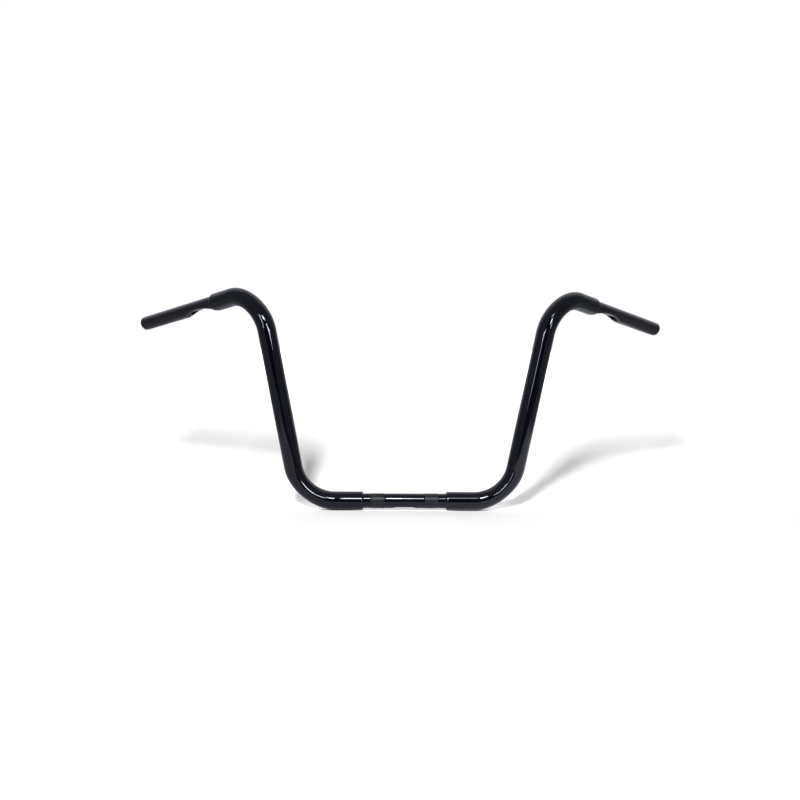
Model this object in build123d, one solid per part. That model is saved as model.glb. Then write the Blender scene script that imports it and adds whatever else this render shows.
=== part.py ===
from build123d import *
import math
import os

os.makedirs("parts", exist_ok=True)

# Ape hanger handlebar: fat bent steel tube with slimmer tube let into its ends,
# welded and painted.
# Frame: X across the bar, +Y towards the rider, +Z up the uprights.
# Origin: on the axis of the clamp tube, half way along it. Millimetres.

# ---- driving dimensions -------------------------------------------------
MAIN_OD = 31.75          # fat bent tube, 1-1/4 in
MAIN_WALL = 3.4          # 10 gauge
TUBE_OD = 25.4           # clamp tube and grip tubes, 1 in
TUBE_BORE = 19.4         # 3 mm wall

CLAMP_HALF = 73.0        # centre to the shoulder of the fat tube
CLAMP_SPIGOT = 38.0      # turned end of the clamp tube inside the fat tube
BASE_HALF = 183.5        # centre to the lower corner, on the centre line
RISE = 365.8             # clamp axis to the upper corner, on the centre line
LEAN_DEG = 10.3          # each upright leans outwards
LOWER_BEND_R = 74.0      # centre-line radius of the lower bend
UPPER_BEND_R = 66.0      # centre-line radius of the upper bend
LOWER_DRAW_IN = 2.2      # how far the bend flattens on its outer side, half way round
UPPER_DRAW_IN = 2.8
PULLBACK_DEG = 39.8      # grips sweep back from the X axis
DROP_DEG = 12.7          # grips fall towards their ends
CORNER_TO_TIP = 328.0    # upper corner to the grip's end, on the centre line

GRIP_LEN = 211.0         # bare 1 in length outside the fat tube
GRIP_SPIGOT = 34.0       # turned end of the grip tube inside the fat tube
SHOULDER_R = 2.0         # rounding of the fat tube's end at the clamp tube
GRIP_SHOULDER_R = 3.1    # and at the grip
TIP_CHAMFER = 1.0        # outer edge of the grip's open end
MOUTH_CHAMFER = 0.6      # inner edge of the grip's open end

KNURL_OD = 25.8          # crests of the knurled bands
KNURL_MID = 47.0         # band centre from the bar's centre
KNURL_LEN = 23.0

WIRE_SLOT_LEN = 41.0     # slot in the underside of the clamp tube
WIRE_SLOT_W = 16.0
GRIP_SLOT_LEN = 24.0     # wire slot in the outboard slope of the dimple
GRIP_SLOT_W = 12.5
GRIP_SLOT_MID = 66.0     # its centre, outboard of the fat tube's end

DIMPLE_MID = 42.0        # middle of the pressed dimple, outboard of the fat tube's end
DIMPLE_DEPTH = 8.6       # below the round of the grip tube
DIMPLE_R = 106.0         # lengthwise radius of the press tool
DIMPLE_ROLL_DEG = 5.0    # the dimple faces down and a little to the rear
DIMPLE_EDGE_R = 4.0      # rounding where the pressed flat meets the round
SCOOP_EDGE_R = 3.0       # the same, where the dimple runs into the end of the fat tube

# ---- derived ------------------------------------------------------------
main_r = MAIN_OD / 2
bore_r = main_r - MAIN_WALL          # bore of the fat tube and radius of the spigots
tube_r = TUBE_OD / 2
hole_r = TUBE_BORE / 2
wall = tube_r - hole_r

lean = math.radians(LEAN_DEG)
ga, ge = math.radians(PULLBACK_DEG), math.radians(DROP_DEG)
ux = Vector(1, 0, 0)
up = Vector(math.sin(lean), 0, math.cos(lean))
g = Vector(math.cos(ge) * math.cos(ga), math.cos(ge) * math.sin(ga), -math.sin(ge))
lower = Vector(BASE_HALF, 0, 0)
upper = lower + up * (RISE / math.cos(lean))
tip = upper + g * CORNER_TO_TIP
shoulder = tip - g * GRIP_LEN        # end of the fat tube on the grip's axis

# direction across the grip that the dimple faces
level = Vector(-math.sin(ga), math.cos(ga), 0)          # across the grip, level, rearwards
under = Vector(-math.sin(ge) * math.cos(ga), -math.sin(ge) * math.sin(ga), -math.cos(ge))
roll = math.radians(DIMPLE_ROLL_DEG)
face_dir = under * math.cos(roll) + level * math.sin(roll)
grip_plane = Plane(origin=shoulder, x_dir=face_dir, z_dir=g)

CMIN = (Align.CENTER, Align.CENTER, Align.MIN)


def straight(start, way, length, ro, ri):
    """A straight run of tube."""
    plane = Plane(origin=start, z_dir=way)
    return plane * (Cylinder(ro, length, align=CMIN) - Cylinder(ri, length, align=CMIN))


def bent_rod(start, d_in, d_out, radius, r, draw_in, steps=12):
    """A bend whose outer side flattens smoothly towards its middle."""
    turn = math.radians(d_in.get_angle(d_out))
    across = d_in.cross(d_out).normalized()
    inward = across.cross(d_in).normalized()
    sections = []
    for i in range(steps + 1):
        t = turn * i / steps
        d = draw_in * math.sin(math.pi * i / steps) ** 2
        tangent = d_in * math.cos(t) + inward * math.sin(t)
        radial = inward * math.cos(t) - d_in * math.sin(t)
        centre = (start + d_in * (radius * math.sin(t))
                  + inward * (radius * (1 - math.cos(t))) + radial * (d / 2))
        plane = Plane(origin=centre, x_dir=across, z_dir=tangent)
        sections.append(plane * (Circle(r) if d < 1e-9 else Ellipse(r + d / 4, r - d / 2)))
    return loft(sections)


def bend(start, d_in, d_out, radius, draw_in):
    return (bent_rod(start, d_in, d_out, radius, main_r, draw_in)
            - bent_rod(start, d_in, d_out, radius, bore_r, draw_in))


press_x = tube_r - DIMPLE_DEPTH + DIMPLE_R


def press(r):
    """The press tool: a roller lying across the underside of the grip."""
    return Pos(press_x, 0, DIMPLE_MID) * Rot(90, 0, 0) * Cylinder(r, 80)


def curved_edges(edges):
    return [e for e in edges if e.geom_type not in (GeomType.CIRCLE, GeomType.LINE)]


# ---- clamp tube ---------------------------------------------------------
along_x = Plane(origin=(0, 0, 0), x_dir=(0, 1, 0), z_dir=(1, 0, 0))
half = CLAMP_HALF + CLAMP_SPIGOT


def rod_x(r, x0, x1):
    return along_x * Pos(0, 0, x0) * Cylinder(r, x1 - x0, align=CMIN)


clamp = rod_x(tube_r, -CLAMP_HALF, CLAMP_HALF) + rod_x(bore_r, -half, half)
for s in (-1, 1):
    lo, hi = s * KNURL_MID - KNURL_LEN / 2, s * KNURL_MID + KNURL_LEN / 2
    clamp += rod_x(KNURL_OD / 2, lo, hi)
clamp -= rod_x(hole_r, -half, half)
clamp -= Pos(0, 0, -30) * extrude(SlotOverall(WIRE_SLOT_LEN, WIRE_SLOT_W), amount=30)

# ---- fat tube, right side -------------------------------------------------
t1 = LOWER_BEND_R * math.tan(math.radians(ux.get_angle(up)) / 2)     # corner to tangent point
t2 = UPPER_BEND_R * math.tan(math.radians(up.get_angle(g)) / 2)
run1 = BASE_HALF - CLAMP_HALF - t1
run2 = RISE / math.cos(lean) - t1 - t2
run3 = CORNER_TO_TIP - GRIP_LEN - t2
fat = straight(Vector(CLAMP_HALF, 0, 0), ux, run1, main_r, bore_r)
fat += bend(lower - ux * t1, ux, up, LOWER_BEND_R, LOWER_DRAW_IN)
fat += straight(lower + up * t1, up, run2, main_r, bore_r)
fat += bend(upper - up * t2, up, g, UPPER_BEND_R, UPPER_DRAW_IN)
fat += straight(upper + g * t2, g, run3, main_r, bore_r)
for middle, radius in ((Vector(CLAMP_HALF, 0, 0), SHOULDER_R), (shoulder, GRIP_SHOULDER_R)):
    rim = [e for e in fat.edges().filter_by(GeomType.CIRCLE)
           if abs(e.radius - main_r) < 1e-4 and (e.arc_center - middle).length < 1e-3]
    fat = fillet(rim, radius)
fat -= grip_plane.location * press(DIMPLE_R)
fat = fillet(curved_edges(e for e in fat.edges() if (e.center() - shoulder).length < 25), SCOOP_EDGE_R)

# ---- grip tube, right side ------------------------------------------------
outer = Cylinder(tube_r, GRIP_LEN, align=CMIN)
outer = chamfer(outer.edges().group_by(Axis.Z)[-1], TIP_CHAMFER)
outer -= press(DIMPLE_R)
outer = fillet(curved_edges(outer.edges()), DIMPLE_EDGE_R)
outer += Pos(0, 0, -GRIP_SPIGOT) * Cylinder(bore_r, GRIP_SPIGOT, align=CMIN)

inner = Pos(0, 0, -GRIP_SPIGOT) * Cylinder(hole_r, GRIP_SPIGOT + GRIP_LEN, align=CMIN)
inner -= press(DIMPLE_R + wall)
inner = fillet(curved_edges(inner.edges()), 1.2)
grip = outer - inner
mouth = [e for e in grip.edges().filter_by(GeomType.CIRCLE)
         if abs(e.radius - hole_r) < 1e-4 and abs(e.arc_center.Z - GRIP_LEN) < 1e-3]
grip = chamfer(mouth, MOUTH_CHAMFER)
grip -= (Plane.YZ * Pos(0, GRIP_SLOT_MID, 0)
         * extrude(SlotOverall(GRIP_SLOT_LEN, GRIP_SLOT_W, rotation=90), amount=30))
grip = grip_plane.location * grip

# ---- write ----------------------------------------------------------------
shapes = {
    "clamp_tube": clamp,
    "right_upright_tube": fat,
    "left_upright_tube": mirror(fat, about=Plane.YZ),
    "right_grip_tube": grip,
    "left_grip_tube": mirror(grip, about=Plane.YZ),
}
for name, shape in shapes.items():
    export_step(shape, f"parts/{name}.step")
    print(name, "volume", round(shape.volume, 1), "solids", len(shape.solids()), "valid", shape.is_valid)
length = (run1 + run2 + run3 + LOWER_BEND_R * math.radians(ux.get_angle(up))
          + UPPER_BEND_R * math.radians(up.get_angle(g)))
print("fat tube runs", [round(v, 2) for v in (run1, run2, run3)], "length", round(length, 2),
      "section x length", round(math.pi * (main_r**2 - bore_r**2) * length, 1))
print("tip", tip, "shoulder", shoulder)
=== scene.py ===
import math

import bpy
import numpy as np
from mathutils import Matrix, Vector


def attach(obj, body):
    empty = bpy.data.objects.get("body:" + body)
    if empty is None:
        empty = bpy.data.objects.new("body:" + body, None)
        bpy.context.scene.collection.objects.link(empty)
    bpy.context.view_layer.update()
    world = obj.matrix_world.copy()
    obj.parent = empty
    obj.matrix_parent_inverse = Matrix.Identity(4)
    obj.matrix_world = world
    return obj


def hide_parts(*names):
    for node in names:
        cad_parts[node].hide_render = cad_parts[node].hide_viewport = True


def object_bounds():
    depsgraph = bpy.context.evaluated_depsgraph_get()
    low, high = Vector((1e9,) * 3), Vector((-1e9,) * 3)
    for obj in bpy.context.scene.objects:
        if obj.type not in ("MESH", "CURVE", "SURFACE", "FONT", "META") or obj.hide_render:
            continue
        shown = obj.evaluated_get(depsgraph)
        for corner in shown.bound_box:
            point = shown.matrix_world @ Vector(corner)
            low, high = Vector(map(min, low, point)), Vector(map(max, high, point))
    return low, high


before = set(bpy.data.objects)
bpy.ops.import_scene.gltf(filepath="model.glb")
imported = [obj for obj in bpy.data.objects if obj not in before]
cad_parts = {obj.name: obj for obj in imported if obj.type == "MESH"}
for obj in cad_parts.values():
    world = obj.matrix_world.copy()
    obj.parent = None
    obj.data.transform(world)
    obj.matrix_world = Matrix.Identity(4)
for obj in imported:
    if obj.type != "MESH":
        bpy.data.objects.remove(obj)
cad_lo, cad_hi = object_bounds()
scene = bpy.context.scene


# ---- node helpers -----------------------------------------------------------
def new_material(name):
    mat = bpy.data.materials.new(name)
    mat.use_nodes = True
    nt = mat.node_tree
    nt.nodes.clear()
    out = nt.nodes.new("ShaderNodeOutputMaterial")
    bsdf = nt.nodes.new("ShaderNodeBsdfPrincipled")
    nt.links.new(bsdf.outputs["BSDF"], out.inputs["Surface"])
    return mat, nt, bsdf


def noise(nt, vector, scale, detail=2.0, rough=0.5):
    n = nt.nodes.new("ShaderNodeTexNoise")
    n.inputs["Scale"].default_value = scale
    n.inputs["Detail"].default_value = detail
    n.inputs["Roughness"].default_value = rough
    nt.links.new(vector, n.inputs["Vector"])
    return n.outputs["Fac"]


def remap(nt, value, lo, hi, a, b):
    m = nt.nodes.new("ShaderNodeMapRange")
    m.inputs["From Min"].default_value = lo
    m.inputs["From Max"].default_value = hi
    m.inputs["To Min"].default_value = a
    m.inputs["To Max"].default_value = b
    nt.links.new(value, m.inputs["Value"])
    return m.outputs["Result"]


# ---- materials ----------------------------------------------------------------
def coat(name, dark, light, rough, bump_strength, bump_scale, ior=1.5, fine=0.0):
    """Black paint: faint colour drift, uneven gloss and the fine ripple of a sprayed coat."""
    mat, nt, b = new_material(name)
    tc = nt.nodes.new("ShaderNodeTexCoord")
    obj = tc.outputs["Object"]
    ramp = nt.nodes.new("ShaderNodeValToRGB")
    ramp.color_ramp.elements[0].position, ramp.color_ramp.elements[0].color = 0.35, (*dark, 1)
    ramp.color_ramp.elements[1].position, ramp.color_ramp.elements[1].color = 0.70, (*light, 1)
    nt.links.new(noise(nt, obj, 22.0, 3.0), ramp.inputs["Fac"])
    nt.links.new(ramp.outputs["Color"], b.inputs["Base Color"])
    nt.links.new(remap(nt, noise(nt, obj, 60.0, 3.0), 0.3, 0.7, *rough), b.inputs["Roughness"])
    b.inputs["IOR"].default_value = ior
    bump = nt.nodes.new("ShaderNodeBump")
    bump.inputs["Strength"].default_value = bump_strength
    bump.inputs["Distance"].default_value = 0.0002
    nt.links.new(noise(nt, obj, bump_scale, 2.0), bump.inputs["Height"])
    if fine:
        grit = nt.nodes.new("ShaderNodeBump")
        grit.inputs["Strength"].default_value = fine
        grit.inputs["Distance"].default_value = 0.0001
        nt.links.new(noise(nt, obj, 2600.0, 2.0), grit.inputs["Height"])
        nt.links.new(bump.outputs["Normal"], grit.inputs["Normal"])
        nt.links.new(grit.outputs["Normal"], b.inputs["Normal"])
    else:
        nt.links.new(bump.outputs["Normal"], b.inputs["Normal"])
    return mat


mat_paint = coat("gloss_black_paint", (0.0008, 0.0010, 0.0030), (0.0015, 0.0018, 0.0042), (0.02, 0.04), 0.012, 420.0)
mat_knurl = coat("knurled_black_paint", (0.0050, 0.0052, 0.0062), (0.0095, 0.0098, 0.0115), (0.32, 0.44), 0.25, 900.0, fine=0.3)
mat_bore = coat("bore_black", (0.0045, 0.0045, 0.0048), (0.0120, 0.0118, 0.0115), (0.45, 0.65), 0.35, 700.0, fine=0.4)
for n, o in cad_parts.items():
    o.data.materials.clear()
    o.data.materials.append(mat_paint)

# ---- the bar's measures (millimetres, as in the CAD) ----------------------------
MM = 0.001
MAIN_R, BORE_R, TUBE_R, HOLE_R, SPIGOT_R = 15.875, 12.475, 12.7, 9.7, 12.46
CLAMP_HALF, CLAMP_END = 73.0, 111.0
BASE_HALF, RISE, LEAN = 183.5, 365.8, math.radians(10.3)
LOWER_R, UPPER_R, LOWER_DRAW, UPPER_DRAW = 74.0, 66.0, 2.2, 2.8
PULLBACK, DROP, CORNER_TO_TIP = math.radians(39.8), math.radians(12.7), 328.0
GRIP_LEN, GRIP_SPIGOT = 211.0, 34.0
SHOULDER_ROUND, GRIP_ROUND = 2.0, 3.1
DIMPLE_MID, DIMPLE_DEPTH, DIMPLE_R, DIMPLE_ROLL = 42.0, 8.6, 106.0, math.radians(5.0)
GRIP_SLOT = (66.0, 24.0, 12.5)
WIRE_SLOT = (0.0, 41.0, 16.0)
KNURL_MID, KNURL_LEN, KNURL_CREST, KNURL_VALLEY = 47.0, 23.0, 12.9, 12.77

UX = np.array([1.0, 0.0, 0.0])
UP = np.array([math.sin(LEAN), 0.0, math.cos(LEAN)])
G = np.array([math.cos(DROP) * math.cos(PULLBACK), math.cos(DROP) * math.sin(PULLBACK), -math.sin(DROP)])
LOWER = np.array([BASE_HALF, 0.0, 0.0])
UPPER = LOWER + UP * (RISE / math.cos(LEAN))
TIP = UPPER + G * CORNER_TO_TIP
SHOULDER = TIP - G * GRIP_LEN
LEVEL = np.array([-math.sin(PULLBACK), math.cos(PULLBACK), 0.0])
UNDER = np.array([-math.sin(DROP) * math.cos(PULLBACK), -math.sin(DROP) * math.sin(PULLBACK), -math.cos(DROP)])
FACE = UNDER * math.cos(DIMPLE_ROLL) + LEVEL * math.sin(DIMPLE_ROLL)     # the dimple faces this way
SIDE = np.cross(G, FACE)
PRESS_X = TUBE_R - DIMPLE_DEPTH + DIMPLE_R


# ---- mesh helpers ------------------------------------------------------------------
class Net:
    """Collects points and faces of one closed skin."""

    def __init__(self):
        self.points, self.faces, self.mats, self.count = [], [], [], 0

    def add(self, pts):
        pts = np.asarray(pts, float).reshape(-1, 3)
        first = self.count
        self.points.append(pts)
        self.count += len(pts)
        return np.arange(first, self.count)

    def strip(self, a, b, mat=0, flip=False):
        """Quads between two closed loops with the same number of points."""
        a2, b2 = np.roll(a, -1), np.roll(b, -1)
        q = np.stack([a, a2, b2, b] if not flip else [a, b, b2, a2], 1)
        self.faces += q.tolist()
        self.mats += [mat] * len(q)

    def cell(self, quad, mat=0, flip=False):
        self.faces.append(list(quad[::-1] if flip else quad))
        self.mats.append(mat)


def piece(net, name, node, mirrored=False, sharp=50.0):
    pts = np.concatenate(net.points) * MM
    used = np.zeros(len(pts), bool)
    for f in net.faces:
        used[f] = True
    number = np.cumsum(used) - 1
    pts = pts[used]
    faces = [number[f].tolist() for f in net.faces]
    if mirrored:
        pts = pts * np.array([-1.0, 1.0, 1.0])
        faces = [f[::-1] for f in faces]
    mesh = bpy.data.meshes.new(name)
    mesh.from_pydata(pts.tolist(), [], faces)
    mesh.polygons.foreach_set("material_index", net.mats)
    mesh.polygons.foreach_set("use_smooth", [True] * len(faces))
    mesh.validate()
    mesh.update()
    mesh.set_sharp_from_angle(angle=math.radians(sharp))
    o = bpy.data.objects.new(name, mesh)
    scene.collection.objects.link(o)
    for mat in (mat_paint, mat_knurl, mat_bore):
        mesh.materials.append(mat)
    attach(o, "root")
    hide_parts(node)
    return o


def turn_about(v, axis, a):
    return v * math.cos(a) + np.cross(axis, v) * math.sin(a) + axis * axis.dot(v) * (1 - math.cos(a))


def smin(a, b, k):
    """The lower of two heights, with a soft change-over k wide."""
    return np.minimum(a, b) - np.maximum(k - np.abs(a - b), 0.0) ** 2 / (4 * k)


def press_height(s, grow=0.0):
    """Height of the press roller's surface over the grip's axis."""
    r = DIMPLE_R + grow
    return PRESS_X - np.sqrt(np.maximum(r * r - (s - DIMPLE_MID) ** 2, 0.0))


# ---- fat tube ------------------------------------------------------------------------
def angle_between(a, b):
    return math.acos(max(-1.0, min(1.0, float(a.dot(b)))))


TURN1, TURN2 = angle_between(UX, UP), angle_between(UP, G)
T1, T2 = LOWER_R * math.tan(TURN1 / 2), UPPER_R * math.tan(TURN2 / 2)
RUN1 = BASE_HALF - CLAMP_HALF - T1
RUN2 = RISE / math.cos(LEAN) - T1 - T2
RUN3 = CORNER_TO_TIP - GRIP_LEN - T2


def fat_ring(part, t, r, around):
    """One ring of the fat tube: part 0, 2, 4 are straight (t in mm), 1 and 3 are bends (t from 0 to 1)."""
    phi = np.arange(around) * (2 * math.pi / around)
    ref = np.array([0.0, -1.0, 0.0])
    ac1, ac2 = np.cross(UX, UP), np.cross(UP, G)
    ac1, ac2 = ac1 / np.linalg.norm(ac1), ac2 / np.linalg.norm(ac2)
    if part == 0:
        c, w, d = np.array([CLAMP_HALF, 0, 0]) + UX * t, UX, 0.0
    elif part == 1:
        inward, a = np.cross(ac1, UX), TURN1 * t
        w, radial = UX * math.cos(a) + inward * math.sin(a), inward * math.cos(a) - UX * math.sin(a)
        d = LOWER_DRAW * math.sin(math.pi * t) ** 2
        c = LOWER - UX * T1 + UX * (LOWER_R * math.sin(a)) + inward * (LOWER_R * (1 - math.cos(a)))
        across, e = ac1, turn_about(ref, ac1, a)
    elif part == 2:
        c, w, d = LOWER + UP * (T1 + t), UP, 0.0
    elif part == 3:
        inward, a = np.cross(ac2, UP), TURN2 * t
        w, radial = UP * math.cos(a) + inward * math.sin(a), inward * math.cos(a) - UP * math.sin(a)
        d = UPPER_DRAW * math.sin(math.pi * t) ** 2
        c = UPPER - UP * T2 + UP * (UPPER_R * math.sin(a)) + inward * (UPPER_R * (1 - math.cos(a)))
        across, e = ac2, turn_about(turn_about(ref, ac1, TURN1), ac2, a)
    else:
        c, w, d = UPPER + G * (T2 + t), G, 0.0
    if part == 0:
        e = ref
    elif part == 2:
        e = turn_about(ref, ac1, TURN1)
    elif part == 4:
        e = turn_about(turn_about(ref, ac1, TURN1), ac2, TURN2)
    f = np.cross(w, e)
    off = (np.cos(phi)[:, None] * e + np.sin(phi)[:, None] * f) * r
    if d > 0:
        off = (np.outer(off @ across, across) * ((r + d / 4) / r)
               + np.outer(off @ radial, radial) * ((r - d / 2) / r) + radial * (d / 2))
    if part == 4:
        # the press that dimples the grip also scoops the underside of this end
        h = off @ FACE
        off = off + np.outer(smin(h, press_height(t - RUN3), 0.6) - h, FACE) * (r > BORE_R + 0.01)
    return c + off


def fat_tube(name, node, mirrored, around=144):
    net, rings = Net(), []
    quarter = [math.radians(a) for a in (0, 8, 18, 30, 42, 54, 66, 78, 90)]
    for a in quarter:                                   # rounded end at the clamp tube
        rings.append((0, SHOULDER_ROUND * (1 - math.cos(a)), MAIN_R - SHOULDER_ROUND * (1 - math.sin(a))))
    rings += [(0, t, MAIN_R) for t in np.linspace(4, RUN1, 14)]
    rings += [(1, t, MAIN_R) for t in np.linspace(0, 1, 65)[1:]]
    rings += [(2, t, MAIN_R) for t in np.linspace(0, RUN2, 52)[1:]]
    rings += [(3, t, MAIN_R) for t in np.linspace(0, 1, 77)[1:]]
    rings += [(4, t, MAIN_R) for t in np.linspace(0, RUN3 - GRIP_ROUND, 48)[1:]]
    for i in range(1, 13):                              # rounded end at the grip
        a = math.pi / 2 * i / 12
        rings.append((4, RUN3 - GRIP_ROUND * (1 - math.sin(a)), MAIN_R - GRIP_ROUND * (1 - math.cos(a))))
    outer = len(rings)
    rings += [(4, t, BORE_R) for t in np.linspace(RUN3, 0, 4)]
    rings += [(3, t, BORE_R) for t in np.linspace(1, 0, 25)[1:]]
    rings += [(2, t, BORE_R) for t in np.linspace(RUN2, 0, 4)[1:]]
    rings += [(1, t, BORE_R) for t in np.linspace(1, 0, 25)[1:]]
    rings += [(0, t, BORE_R) for t in np.linspace(RUN1, 0, 4)[1:]]
    ids = [net.add(fat_ring(p, t, r, around)) for p, t, r in rings]
    for i in range(len(ids)):
        net.strip(ids[i], ids[(i + 1) % len(ids)], 0 if i < outer else 2)
    return piece(net, name, node, mirrored)


# ---- skins with a slot in them ---------------------------------------------------------
def capsule(direction, length, width):
    """Where rays from the middle meet a slot with round ends."""
    a, r = length / 2 - width / 2, width / 2
    lo, hi = np.zeros(len(direction)), np.full(len(direction), length)
    for _ in range(50):
        m = (lo + hi) / 2
        p = direction * m[:, None]
        out = np.hypot(np.maximum(np.abs(p[:, 0]) - a, 0.0), p[:, 1]) > r
        hi, lo = np.where(out, m, hi), np.where(out, lo, m)
    return direction * hi[:, None]


def rectangle_loop(rows, half):
    """Row and column numbers round a block of the grid."""
    r0, r1 = 0, rows - 1
    loop = [(r0, k) for k in range(-half, half)]
    loop += [(r, half) for r in range(r0, r1)]
    loop += [(r1, k) for k in range(half, -half, -1)]
    loop += [(r, -half) for r in range(r1, r0, -1)]
    return loop


def slotted_skin(net, stations, window, half, around, place, slot, rim, flip, mat, knurl=None):
    """A tube's skin over a grid of stations and angles, open at the slot.

    place(s, phi, drop) gives points; window is the range of rows that the slot patch takes.
    Returns the first ring, the last ring and the loop at the slot's edge."""
    step = 2 * math.pi / around
    ids = []
    for i, st in enumerate(stations):
        phi = np.arange(around) * step
        ids.append(net.add(place(np.full(around, st), phi, 0.0, i)))
    w0, w1 = window
    for i in range(len(ids) - 1):
        for k in range(around):
            c = k if k < around // 2 else k - around
            if w0 <= i < w1 and -half <= c < half:
                continue
            a, b = ids[i], ids[i + 1]
            k2 = (k + 1) % around
            m = mat
            if knurl is not None and knurl[i]:
                m = 1
                q = (a[k], a[k2], b[k2], b[k])
                if (i + k) % 2 == 0:
                    net.cell((q[0], q[1], q[2]), m, flip)
                    net.cell((q[0], q[2], q[3]), m, flip)
                else:
                    net.cell((q[0], q[1], q[3]), m, flip)
                    net.cell((q[1], q[2], q[3]), m, flip)
                continue
            net.cell((a[k], a[k2], b[k2], b[k]), m, flip)
    mid, length, width = slot
    loop = rectangle_loop(w1 - w0 + 1, half)
    edge = np.array([ids[w0 + r][k % around] for r, k in loop])
    rs = np.array([stations[w0 + r] for r, k in loop])
    rphi = np.array([k * step for r, k in loop])
    span_s, span_p = stations[w1] - mid, half * step
    direction = np.stack([(rs - mid) / span_s * length, rphi / span_p * width], 1)
    direction = direction / np.linalg.norm(direction, axis=1)[:, None]

    def on_skin(grow):
        p = capsule(direction, length + 2 * grow, width + 2 * grow)
        s, y = p[:, 0] + mid, p[:, 1]
        lo, hi = np.zeros(len(s)), np.full(len(s), math.pi / 2)
        for _ in range(50):
            m = (lo + hi) / 2
            far = place.across(s, m) > np.abs(y)
            hi, lo = np.where(far, m, hi), np.where(far, lo, m)
        return s, hi * np.sign(y)

    prev = edge
    s1, p1 = on_skin(rim)
    for t in (0.25, 0.5, 0.7, 0.85, 0.94):
        now = net.add(place(rs + (s1 - rs) * t, rphi + (p1 - rphi) * t, 0.0, None))
        net.strip(prev, now, mat, flip)
        prev = now
    turns = [math.radians(a) for a in (0, 15, 30, 45, 60, 75, 90)] if rim > 0 else [math.pi / 2]
    for a in turns:
        s, p = on_skin(rim * (1 - math.sin(a)))
        now = net.add(place(s, p, rim * (1 - math.cos(a)), None))
        net.strip(prev, now, mat, flip)
        prev = now
    return ids[0], ids[-1], prev


class RoundSkin:
    """Skin of the clamp tube: round about X, angles from straight down."""

    def __init__(self, radius, heights=None):
        self.radius, self.heights = radius, heights

    def across(self, s, phi):
        return self.radius * np.sin(phi)

    def __call__(self, s, phi, drop, row):
        r = self.radius if row is None or self.heights is None else self.heights[row]
        r = np.broadcast_to(r, np.shape(phi))
        return np.stack([s, r * np.sin(phi), -r * np.cos(phi) + drop], 1)


class PressedSkin:
    """Skin of the grip tube: round about its axis, dented by the press, angles from the dimple's facing."""

    def __init__(self, radius, edge, grow, heights):
        self.radius, self.edge, self.grow, self.heights = radius, edge, grow, heights

    def rho(self, s, phi, base=None):
        r, e = (self.radius if base is None else base), self.edge
        hp = smin(press_height(s, self.grow), np.full(np.shape(s), r), 0.33)
        phi = np.abs((phi + math.pi) % (2 * math.pi) - math.pi)
        ch = hp - e
        yc = np.sqrt(np.maximum((r - e) ** 2 - ch ** 2, 0.0))
        uc = np.cos(phi) * ch + np.sin(phi) * yc
        arc = uc + np.sqrt(np.maximum(uc ** 2 - ch ** 2 - yc ** 2 + e * e, 0.0))
        flat = hp / np.maximum(np.cos(phi), 0.05)
        out = np.where(phi < np.arctan2(yc, hp), flat, np.where(phi < np.arctan2(yc, ch), arc, r))
        return np.where(hp >= r, r, np.minimum(out, r))

    def across(self, s, phi):
        return self.rho(s, phi) * np.sin(phi)

    def __call__(self, s, phi, drop, row):
        r = self.rho(s, phi)
        if row is not None and self.heights[row] is not None:
            r = np.full(np.shape(phi), self.heights[row])
        return (SHOULDER + np.outer(s, G) + np.outer(r * np.cos(phi) - drop, FACE) + np.outer(r * np.sin(phi), SIDE))


# ---- clamp tube ---------------------------------------------------------------------------
def clamp_tube(name, node, around=160):
    net = Net()
    xs, hs, kn = [], [], []

    def row(x, r, k=False):
        xs.append(x)
        hs.append(r)
        kn.append(k)

    cells = 46
    wave = np.arange(around) % 2

    def band(lo):
        row(lo - 0.45, TUBE_R)
        row(lo - 0.15, TUBE_R + 0.10)
        for j in range(cells + 1):
            high = (wave + j) % 2
            fade = min(1.0, (min(j, cells - j) + 0.6) / 2.0)
            crest = TUBE_R + (KNURL_CREST - TUBE_R) * (0.5 + 0.5 * fade)
            row(lo + KNURL_LEN * j / cells, np.where(high == 1, crest, TUBE_R + (KNURL_VALLEY - TUBE_R) * fade), j < cells)
        row(lo + KNURL_LEN + 0.15, TUBE_R + 0.10)
        row(lo + KNURL_LEN + 0.45, TUBE_R)

    row(-CLAMP_END, SPIGOT_R)
    row(-CLAMP_HALF - 0.3, SPIGOT_R)
    row(-CLAMP_HALF - 0.1, TUBE_R - 0.01)
    for x in np.linspace(-CLAMP_HALF, -KNURL_MID - KNURL_LEN / 2 - 1.5, 8):
        row(x, TUBE_R)
    band(-KNURL_MID - KNURL_LEN / 2)
    row(-31.5, TUBE_R)
    w0 = len(xs)
    for x in np.linspace(-28, 28, 57):
        row(x, TUBE_R)
    w1 = len(xs) - 1
    row(31.5, TUBE_R)
    band(KNURL_MID - KNURL_LEN / 2)
    for x in np.linspace(KNURL_MID + KNURL_LEN / 2 + 1.5, CLAMP_HALF, 8):
        row(x, TUBE_R)
    row(CLAMP_HALF + 0.1, TUBE_R - 0.01)
    row(CLAMP_HALF + 0.3, SPIGOT_R)
    row(CLAMP_END, SPIGOT_R)
    a0, a1, rim = slotted_skin(net, xs, (w0, w1), 33, around, RoundSkin(TUBE_R, hs), WIRE_SLOT, 0.8, False, 0, kn)
    bx = [-CLAMP_END, -70.0] + list(np.linspace(-28, 28, 57)) + [70.0, CLAMP_END]
    b0, b1, inner = slotted_skin(net, bx, (2, 58), 33, around, RoundSkin(HOLE_R), WIRE_SLOT, 0.0, True, 2)
    net.strip(rim, inner, 0, False)
    net.strip(a0, b0, 2, True)
    net.strip(a1, b1, 2, False)
    return piece(net, name, node)


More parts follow.
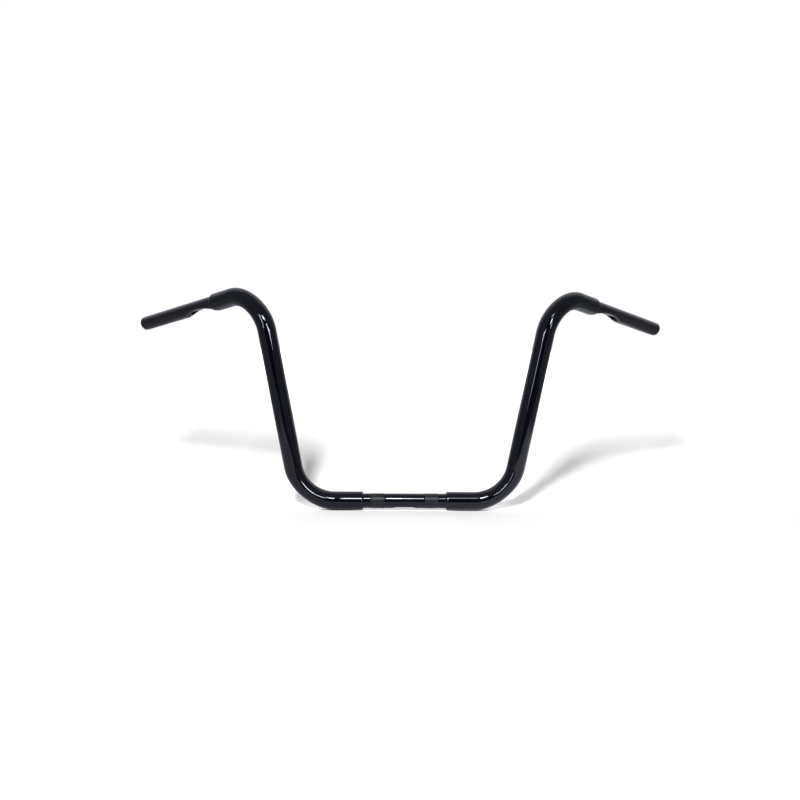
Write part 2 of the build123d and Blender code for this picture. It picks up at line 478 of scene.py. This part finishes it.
# ---- grip tube ------------------------------------------------------------------------------
def grip_tube(name, node, mirrored, around=160):
    net = Net()
    dense = list(np.arange(0.5, 100.5, 1.0))
    st = [-GRIP_SPIGOT, -0.6, -0.4] + dense + list(np.linspace(104, GRIP_LEN - 1.3, 24))
    hs = [SPIGOT_R, SPIGOT_R, TUBE_R - 0.01] + [None] * (len(st) - 3)
    for s, r in ((1.12, 12.69), (1.02, 12.665), (0.9, 12.6), (0.15, 11.85), (0.06, 11.74), (0.0, 11.6), (0.0, 10.42),
                 (0.05, 10.3), (0.5, 9.8), (0.62, 9.72)):
        st.append(GRIP_LEN - s)
        hs.append(r)
    w0 = st.index(47.5)
    w1 = st.index(84.5)
    a0, a1, rim = slotted_skin(net, st, (w0, w1), 40, around, PressedSkin(TUBE_R, 4.0, 0.0, hs), GRIP_SLOT, 0.8, False, 0)
    bst = [-GRIP_SPIGOT, -17.0] + dense + [120.0, 160.0, GRIP_LEN - 0.75]
    v0, v1 = bst.index(47.5), bst.index(84.5)
    b0, b1, inner = slotted_skin(net, bst, (v0, v1), 40, around,
                                 PressedSkin(HOLE_R, 1.2, 3.0, [None] * len(bst)), GRIP_SLOT, 0.0, True, 2)
    net.strip(rim, inner, 0, False)
    net.strip(a0, b0, 2, True)
    net.strip(a1, b1, 0, False)
    return piece(net, name, node, mirrored)


right_upright = fat_tube("right_upright", "right_upright_tube", False)
left_upright = fat_tube("left_upright", "left_upright_tube", True)
clamp_bar = clamp_tube("clamp_bar", "clamp_tube")
right_grip_end = grip_tube("right_grip_end", "right_grip_tube", False)
left_grip_end = grip_tube("left_grip_end", "left_grip_tube", True)

# ---- floor ----------------------------------------------------------------------
def rounded_floor(name, x0, x1, y0, y1, r, steps=24):
    """A pale sheet on the ground with rounded corners."""
    pts = []
    for cx, cy, a0 in ((x1 - r, y1 - r, 0), (x0 + r, y1 - r, 90), (x0 + r, y0 + r, 180), (x1 - r, y0 + r, 270)):
        for i in range(steps + 1):
            t = math.radians(a0 + 90 * i / steps)
            pts.append((cx + r * math.cos(t), cy + r * math.sin(t), 0.0))
    mesh = bpy.data.meshes.new(name)
    mesh.from_pydata(pts, [], [list(range(len(pts)))])
    o = bpy.data.objects.new(name, mesh)
    scene.collection.objects.link(o)
    return o


def nmath(nt, op, a, b=None):
    m = nt.nodes.new("ShaderNodeMath")
    m.operation = op
    for i, v in enumerate((a, b)):
        if v is None:
            continue
        if isinstance(v, (int, float)):
            m.inputs[i].default_value = v
        else:
            nt.links.new(v, m.inputs[i])
    return m.outputs[0]


def nstep(nt, value, lo, hi, a=0.0, b=1.0):
    m = nt.nodes.new("ShaderNodeMapRange")
    m.interpolation_type = "SMOOTHSTEP"
    m.inputs["From Min"].default_value = lo
    m.inputs["From Max"].default_value = hi
    m.inputs["To Min"].default_value = a
    m.inputs["To Max"].default_value = b
    nt.links.new(value, m.inputs["Value"])
    return m.outputs["Result"]


def nwindow(nt, value, lo, hi, soft):
    """1 between lo and hi, falling to 0 over soft outside them."""
    return nmath(nt, "MULTIPLY", nstep(nt, value, lo - soft, lo), nstep(nt, value, hi, hi + soft, 1.0, 0.0))


def nblend(nt, fac, a, b):
    """a where fac is 0, b where it is 1."""
    m = nt.nodes.new("ShaderNodeMix")
    m.data_type = "FLOAT"
    for i, v in enumerate((fac, a, b)):
        if isinstance(v, (int, float)):
            m.inputs[(0, 2, 3)[i]].default_value = v
        else:
            nt.links.new(v, m.inputs[(0, 2, 3)[i]])
    return m.outputs[0]


rad = math.radians
COOL = (0.94, 0.975, 1.10, 1)                                 # the studio light is a little blue
FLOOR_Z = cad_lo.z - 0.0002
floor = rounded_floor("studio_floor", -2.4, 2.4, -1.3, 3.2, 0.5)
floor.location.z = FLOOR_Z
fm, fnt, fb = new_material("pale_floor")
ftc = fnt.nodes.new("ShaderNodeTexCoord")
fsep = fnt.nodes.new("ShaderNodeSeparateXYZ")
fnt.links.new(ftc.outputs["Object"], fsep.inputs["Vector"])
FX, FY, _ = fsep.outputs
grain_and_lamp_lift = remap(fnt, noise(fnt, ftc.outputs["Object"], 3.0, 2.0), 0.3, 0.7, 0.985, 1.0)
# painted light and shade: for mirrored rays only, the floor's colour stands for how it is lit; the lit sheet ends
# about half a metre to each side and in front, it is darker on the left than on the right, and it is tinted like the
# lamps
sheet = nmath(fnt, "MULTIPLY", nwindow(fnt, FX, -0.52, 0.56, 0.12), nstep(fnt, FY, -0.80, -0.64))
mirrored_lit_level = nblend(fnt, nstep(fnt, FX, -0.15, 0.20), 0.54, 0.88)
room = nblend(fnt, nmath(fnt, "MULTIPLY", nwindow(fnt, FX, -0.36, 0.18, 0.10), nstep(fnt, FY, -0.80, -0.64, 1.0, 0.0)), 0.30, 0.03)
corner = nmath(fnt, "MULTIPLY", nwindow(fnt, FX, 0.10, 0.90, 0.10), nstep(fnt, FY, -0.60, -0.48, 1.0, 0.0))
mirrored_painted_light = nblend(fnt, corner, nblend(fnt, sheet, room, mirrored_lit_level), 0.05)   # unlit to the right of the camera
flp = fnt.nodes.new("ShaderNodeLightPath")
# painted light: besides its faint grain, the floor's colour is lightened towards the right and the far left, where the
# key lamp is weaker, and darkened towards the front, where it is stronger
grain_and_lamp_lift = nmath(fnt, "MULTIPLY", grain_and_lamp_lift, nstep(fnt, FX, 0.0, 0.9, 1.0, 1.09))
grain_and_lamp_lift = nmath(fnt, "MULTIPLY", grain_and_lamp_lift, nstep(fnt, FX, -0.95, -0.35, 1.035, 1.0))
tone = nmath(fnt, "MULTIPLY", grain_and_lamp_lift, nmath(fnt, "MULTIPLY", nstep(fnt, FY, -0.15, 0.45, 0.75, 0.825),
                                            nblend(fnt, flp.outputs["Is Glossy Ray"], 1.0, mirrored_painted_light)))
fcol = fnt.nodes.new("ShaderNodeMix")
fcol.data_type = "RGBA"
fcol.inputs[6].default_value = (1, 1, 1, 1)
fcol.inputs[7].default_value = COOL
fnt.links.new(flp.outputs["Is Glossy Ray"], fcol.inputs[0])
fmul = fnt.nodes.new("ShaderNodeVectorMath")
fmul.operation = "SCALE"
fnt.links.new(fcol.outputs[2], fmul.inputs[0])
fnt.links.new(tone, fmul.inputs["Scale"])
fnt.links.new(fmul.outputs[0], fb.inputs["Base Color"])
fb.inputs["Roughness"].default_value = 1.0
fb.inputs["Specular IOR Level"].default_value = 0.0
# the sheet glows towards the back, where the key lamp gets weaker
fb.inputs["Emission Color"].default_value = (1, 1, 1, 1)
glow = nmath(fnt, "MULTIPLY", remap(fnt, FY, 0.25, 2.3, 0.0, 0.44), nmath(fnt, "SUBTRACT", 1.0, flp.outputs["Is Glossy Ray"]))
# painted light: for camera rays the floor also glows a little where the bar stands on it, so that the line of contact
# stays light, and beside the lower bends, so that the shadows there stay light near the base
front = nblend(fnt, nwindow(fnt, FX, -0.07, 0.07, 0.03), nstep(fnt, FY, -0.004, 0.006), nstep(fnt, FY, -0.011, -0.003))
painted_shadow_lift = nmath(fnt, "MULTIPLY", nwindow(fnt, FX, -0.15, 0.15, 0.07), nmath(fnt, "MULTIPLY", front, nstep(fnt, FY, 0.02, 0.09, 1.0, 0.0)))
bend_shadow_lift = nmath(fnt, "MULTIPLY", nwindow(fnt, FX, -0.11, 0.11, 0.10), -1.0)
bend_shadow_lift = nmath(fnt, "MULTIPLY", nmath(fnt, "ADD", bend_shadow_lift, 1.0), nmath(fnt, "MULTIPLY", nstep(fnt, FY, -0.02, 0.01), nstep(fnt, FY, 0.08, 0.40, 1.0, 0.0)))
painted_shadow_lift = nmath(fnt, "ADD", nmath(fnt, "MULTIPLY", painted_shadow_lift, 0.45), nmath(fnt, "MULTIPLY", bend_shadow_lift, 0.36))
painted_shadow_lift = nmath(fnt, "MULTIPLY", painted_shadow_lift, flp.outputs["Is Camera Ray"])
glow = nmath(fnt, "ADD", nmath(fnt, "ADD", glow, nstep(fnt, FY, 0.75, 1.0, 0.0, 0.04)), painted_shadow_lift)
# all round, the sheet runs into the white of the room, so that its edge doesn't show from any side
reach = nmath(fnt, "SQRT", nmath(fnt, "ADD", nmath(fnt, "MULTIPLY", FX, FX), nmath(fnt, "MULTIPLY", FY, FY)))
glow = nmath(fnt, "ADD", glow, nmath(fnt, "MULTIPLY", nstep(fnt, reach, 0.95, 2.0, 0.0, 0.8), flp.outputs["Is Camera Ray"]))
fnt.links.new(glow, fb.inputs["Emission Strength"])
floor.data.materials.append(fm)

# ---- studio surroundings ----------------------------------------------------------
world = bpy.data.worlds.new("studio")
scene.world = world
world.use_nodes = True
wt = world.node_tree
wt.nodes.clear()
wout = wt.nodes.new("ShaderNodeOutputWorld")
wtc = wt.nodes.new("ShaderNodeTexCoord")
sep = wt.nodes.new("ShaderNodeSeparateXYZ")
wt.links.new(wtc.outputs["Generated"], sep.inputs["Vector"])
X, Y, Z = sep.outputs
DEG = 180.0 / math.pi
elev = nmath(wt, "MULTIPLY", nmath(wt, "ARCSINE", Z), DEG)              # above the horizon
azim = nmath(wt, "MULTIPLY", nmath(wt, "ARCTAN2", X, nmath(wt, "MULTIPLY", Y, -1.0)), DEG)   # 0 in front, + to the right
turn = nmath(wt, "ABSOLUTE", azim)

# dim room in front and a pale backdrop behind
walls = nblend(wt, nstep(wt, azim, -25.0, 25.0), 0.22, 0.20)
walls = nblend(wt, nstep(wt, turn, 98.0, 138.0), walls, 0.70)
walls = nblend(wt, nstep(wt, elev, 55.0, 75.0), walls, 0.24)
# dark opening behind the camera
dark = nmath(wt, "MULTIPLY", nwindow(wt, azim, -19.0, 16.0, 6.0), nstep(wt, elev, 32.0, 40.0, 1.0, 0.0))
walls = nmath(wt, "MULTIPLY", walls, nblend(wt, dark, 1.0, 0.04))


# a narrow leaning lamp on the left, far away
off = nmath(wt, "SUBTRACT", azim, nmath(wt, "ADD", nmath(wt, "MULTIPLY", elev, 0.70), -26.0))
post = nmath(wt, "MULTIPLY", nwindow(wt, off, -2.2, 2.2, 1.5), nwindow(wt, elev, -0.5, 14.0, 2.0))
total = nmath(wt, "ADD", walls, nmath(wt, "MULTIPLY", post, 8.0))


def background(colour, strength):
    b = wt.nodes.new("ShaderNodeBackground")
    b.inputs["Color"].default_value = colour
    if isinstance(strength, (int, float)):
        b.inputs["Strength"].default_value = strength
    else:
        wt.links.new(strength, b.inputs["Strength"])
    return b.outputs["Background"]


def choose(fac, a, b):
    m = wt.nodes.new("ShaderNodeMixShader")
    wt.links.new(fac, m.inputs["Fac"])
    wt.links.new(a, m.inputs[1])
    wt.links.new(b, m.inputs[2])
    return m.outputs["Shader"]


lp = wt.nodes.new("ShaderNodeLightPath")
low_back = nmath(wt, "MULTIPLY", nstep(wt, Y, -0.1, 0.3), nstep(wt, elev, 30.0, 50.0, 1.45, 0.0))
fill = background((1, 1, 1, 1), nmath(wt, "ADD", low_back, 0.03))
sky = choose(lp.outputs["Is Glossy Ray"], fill, background(COOL, total))
sky = choose(lp.outputs["Is Camera Ray"], sky, background((1, 1, 1, 1), 1.0))
wt.links.new(sky, wout.inputs["Surface"])
world.cycles.sampling_method = "NONE"

# ---- key lamp: gives the floor its soft shadow -----------------------------------------
def key_lamp(name, tall, energy):
    data = bpy.data.lights.new(name, "AREA")
    data.shape = "ELLIPSE"
    data.size, data.size_y = 0.19, tall
    data.energy = energy
    data.use_nodes = True
    kt = data.node_tree
    kemit = next(n for n in kt.nodes if n.type == "EMISSION")
    kfall = kt.nodes.new("ShaderNodeLightFalloff")
    kfall.inputs["Strength"].default_value = 0.25
    kt.links.new(kfall.outputs["Constant"], kemit.inputs["Strength"])
    o = bpy.data.objects.new(name, data)
    scene.collection.objects.link(o)
    middle = Vector((-0.385, -1.497, 1.440))
    back = (middle - Vector((0.0, 0.3, 0.0))).normalized()           # the lamp's long side stands in a plane across X
    high = Vector((0.0, back.z, -back.y)).normalized()
    km = Matrix((high.cross(back), high, back)).transposed().to_4x4()
    km.translation = middle
    o.matrix_world = km
    o.visible_glossy = False


key_lamp("key_core", 0.45, 46.0)
key_lamp("key_tall", 1.20, 16.0)

# ---- lamps that the paint mirrors --------------------------------------------------------
def panel(name, p0, p1, width, strength, aim, pieces, spread=180.0):
    """A flat lamp from p0 to p1 that only the named pieces mirror."""
    p0, p1, aim = Vector(p0), Vector(p1), Vector(aim)
    middle, long = (p0 + p1) / 2, (p1 - p0).normalized()
    back = middle - aim
    back = (back - long * back.dot(long)).normalized()
    data = bpy.data.lights.new(name, "AREA")
    data.shape = "RECTANGLE"
    data.size, data.size_y = (p1 - p0).length, width
    data.energy = strength * math.pi * data.size * width
    if spread < 180.0:
        half = rad(spread / 2)
        data.spread = rad(spread)
        data.energy *= (math.tan(half) - half) / math.tan(half)
    data.color = [c / max(COOL[:3]) for c in COOL[:3]]
    o = bpy.data.objects.new(name, data)
    scene.collection.objects.link(o)
    m = Matrix((long, back.cross(long), back)).transposed().to_4x4()
    m.translation = middle
    o.matrix_world = m
    o.visible_camera = False
    o.visible_diffuse = False
    group = bpy.data.collections.new(name)
    for shown in pieces:
        group.objects.link(shown)
    o.light_linking.receiver_collection = group


base = (0.0, 0.0, 0.0)
lefts, rights, clamps = (left_upright, left_grip_end), (right_upright, right_grip_end), (clamp_bar,)
# long lamp over the front of the bar
panel("clamp_lamp_a", (-0.140, -1.29, 1.593), (-0.030, -1.29, 1.593), 0.29, 40.0, base, clamps)
panel("clamp_lamp_b", (-0.030, -1.29, 1.593), (0.065, -1.29, 1.593), 0.29, 76.0, base, clamps)
panel("clamp_lamp_c", (0.065, -1.29, 1.593), (0.115, -1.29, 1.593), 0.29, 40.0, base, clamps)
panel("clamp_lamp_d", (0.115, -1.29, 1.593), (0.190, -1.29, 1.593), 0.29, 31.0, base, clamps)
panel("clamp_lamp_e", (0.190, -1.29, 1.593), (0.300, -1.29, 1.593), 0.29, 14.0, base, clamps)
panel("left_top_lamp", (-0.175, -1.29, 1.160), (0.100, -1.29, 1.160), 0.25, 41.0, base, lefts)
panel("left_top_lamp_end", (0.100, -1.29, 1.160), (0.250, -1.29, 1.160), 0.25, 17.0, base, lefts)
panel("right_top_lamp", (0.160, -1.29, 1.650), (0.500, -1.29, 1.650), 0.30, 9.0, base, rights)
# leaning lamps on the right
panel("left_arm_low", (0.675, -1.29, 0.396), (0.345, -1.29, 0.515), 0.185, 34.0, (-0.20, 0.0, 0.15), lefts)
panel("left_arm_high", (0.345, -1.29, 0.515), (0.176, -1.29, 0.800), 0.185, 22.0, (-0.20, 0.0, 0.15), lefts)
panel("right_arm_low", (1.490, -1.88, 0.420), (1.187, -1.88, 0.784), 0.24, 9.0, (0.27, 0.0, 0.34), rights)
panel("right_arm_high", (0.800, -1.88, 0.950), (0.660, -1.88, 1.500), 0.24, 33.0, (0.27, 0.0, 0.34), rights)
# lamps on the left
panel("left_side_lamp", (-0.740, -1.29, 0.600), (-0.740, -1.29, 1.050), 0.15, 15.0, (-0.27, 0.0, 0.34), lefts)
panel("right_side_lamp", (-0.450, -1.29, 0.365), (-0.200, -1.29, 0.530), 0.06, 40.0, (0.19, 0.0, 0.03), rights)
panel("right_near_lamp", (-0.018, -0.4205, 0.432), (0.102, -0.4205, 0.432), 0.084, 85.0, (0.139, -0.005, 0.015), rights, 50.0)

# ---- camera --------------------------------------------------------------------------
yaw, pitch, roll = rad(1.926), rad(8.610), rad(-0.762)
D, F_PX = 1.4211, 823.6
fw = Vector((math.sin(yaw) * math.cos(pitch), math.cos(yaw) * math.cos(pitch), -math.sin(pitch)))
right = Vector((math.cos(yaw), -math.sin(yaw), 0))
down = fw.cross(right)
r2 = right * math.cos(roll) + down * math.sin(roll)
d2 = down * math.cos(roll) - right * math.sin(roll)
eye = Vector((-0.00937, 0, 0.17828)) - fw * D
aim = (fw - (r2 + d2) * (0.5 / F_PX)).normalized()          # centre of the frame
r3 = (r2 - aim * r2.dot(aim)).normalized()
d3 = aim.cross(r3)
cam_data = bpy.data.cameras.new("camera")
cam_data.sensor_width = 36.0
cam_data.lens = F_PX * 36.0 / 800.0
cam_data.clip_start, cam_data.clip_end = 0.02, 100.0
cam = bpy.data.objects.new("camera", cam_data)
scene.collection.objects.link(cam)
m = Matrix((r3, -d3, -aim)).transposed().to_4x4()
m.translation = eye
cam.matrix_world = m
scene.camera = cam

scene.view_settings.view_transform = "Standard"
scene.view_settings.look = "None"
